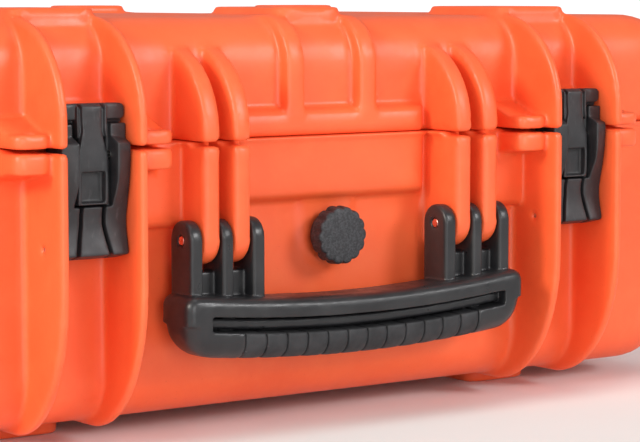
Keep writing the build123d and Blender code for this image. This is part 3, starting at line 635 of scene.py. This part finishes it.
# ---------------------------------------------------------------- turned and wound metal
def tube(name, path, radius, material, sides=16):
    """A solid round bar along a list of points, in mm, with rounded ends."""
    points = np.array(path, float)
    steps = np.gradient(points, axis=0)
    steps /= np.linalg.norm(steps, axis=1)[:, None]
    start = np.array((0.0, 0.0, 1.0)) if abs(steps[0][2]) < 0.9 else np.array((1.0, 0.0, 0.0))
    rings, faces = [], []
    shrink = [0.80] + [1.0] * (len(points) - 2) + [0.80]
    for point, step, scale in zip(points, steps, shrink):
        u = np.cross(start, step)
        u /= np.linalg.norm(u)
        v = np.cross(step, u)
        start = v
        angles = np.arange(sides) * 2 * pi / sides
        rings.append(point + scale * radius * (np.outer(np.cos(angles), u) + np.outer(np.sin(angles), v)))
    for i in range(len(points) - 1):
        for j in range(sides):
            k = (j + 1) % sides
            faces.append((i * sides + j, i * sides + k, (i + 1) * sides + k, (i + 1) * sides + j))
    faces.append(tuple(range(sides - 1, -1, -1)))
    faces.append(tuple((len(points) - 1) * sides + j for j in range(sides)))
    mesh = bpy.data.meshes.new(name)
    mesh.from_pydata((np.concatenate(rings) * MM).tolist(), [], faces)
    for polygon in mesh.polygons[:-2]:
        polygon.use_smooth = True
    mesh.materials.append(material)
    piece = bpy.data.objects.new(name, mesh)
    bpy.context.scene.collection.objects.link(piece)
    return piece


def make_pin(node, body, material):
    """A straight pin with a small chamfer at both ends."""
    low, high = box_mm(node)
    middle = (low + high) / 2
    radius = (high[2] - low[2]) / 2
    chamfer = 0.25 * radius
    stops = [low[0], low[0] + chamfer, high[0] - chamfer, high[0]]
    path = [(x, middle[1], middle[2]) for x in stops]
    piece = tube(f"{node}_turned", path, radius, material, 40)
    finish_piece(piece, body, "steel", node)


SPRING_WIRE_R = 0.42
SPRING_TURNS = 5
SPRING_LEG = 2.0


def make_spring(side, material):
    """A torsion spring round the claw's pin: close turns and two short legs."""
    node = f"claw_spring_{side}"
    low, high = box_mm(node)
    middle = (low + high) / 2
    wire = SPRING_WIRE_R
    radius = (high[2] - low[2]) / 2 - wire
    steps = 24 * SPRING_TURNS
    path = []
    for i in range(steps + 1):
        angle = 2 * pi * SPRING_TURNS * i / steps + pi
        x = low[0] + wire + (high[0] - low[0] - 2 * wire) * i / steps
        path.append((x, middle[1] + radius * sin(angle), middle[2] + radius * cos(angle)))
    first, last = path[0], path[-1]
    path.insert(0, (first[0], first[1] + SPRING_LEG, first[2] + 0.8))
    path.append((last[0], last[1] + SPRING_LEG, last[2] + 0.8))
    finish_piece(tube(f"{node}_wire", path, wire, material, 10), f"lever_{side}", "steel", node)


def soften_node(node, body, slot, material, voxel, soft):
    """A CAD node with its edges rounded, for the small moulded and cut pieces."""
    low, high = box_mm(node)
    field = Field(low, high, voxel)
    field.add(field.node(node))
    field.soften(soft)
    finish_piece(field.mesh(f"{node}_soft", material, 0.05), body, slot, node)


# ---------------------------------------------------------------- the whole case
make_camera()
make_light()

orange = shell_plastic()
latch_black = latch_plastic()
handle_black = handle_plastic()
rubber = grip_rubber()
knob_black = knob_plastic()
bright_steel = steel("steel")
# Handle pins: steel tinted salmon, a hint of copper and mostly a painted reflection of the orange shell
# around them.
copper_and_reflection_steel = steel("copper_and_orange_reflection_steel", (0.86, 0.42, 0.36))
seal = seal_rubber()
white_membrane = membrane_cloth()

make_shell("base_moulding", "base", ["base_shell", "base_padlock_lugs"], orange)
make_shell("lid_moulding", "lid", ["lid_shell", "lid_padlock_lugs"], orange)
make_handle(handle_black, rubber)
for side in ("left", "right"):
    make_lever(side, latch_black)
    make_claw(side, latch_black)
    make_spring(side, bright_steel)
    make_pin(f"lever_pin_{side}", "base", bright_steel)
    # The handle pins get the salmon steel: a painted reflection of the orange shell, with a hint of copper.
    make_pin(f"handle_pin_{side}", "base", copper_and_reflection_steel)
    make_pin(f"hinge_pin_{side}", "base", bright_steel)
    make_pin(f"claw_pin_{side}", f"lever_{side}", bright_steel)
make_knob(knob_black)
soften_node("valve_body", "base", "knob_plastic", knob_black, 0.3, 0.2)
soften_node("valve_nut", "base", "knob_plastic", knob_black, 0.3, 0.25)
soften_node("lid_gasket", "lid", "seal_rubber", seal, 0.7, 0.7)
for node, material in (("valve_o_ring", seal), ("valve_membrane", white_membrane)):
    nodes[node].data.materials.clear()
    nodes[node].data.materials.append(material)

bpy.ops.mesh.primitive_plane_add(size=12)
floor = bpy.context.object
floor.name = "floor"
floor.data.materials.append(floor_paper())
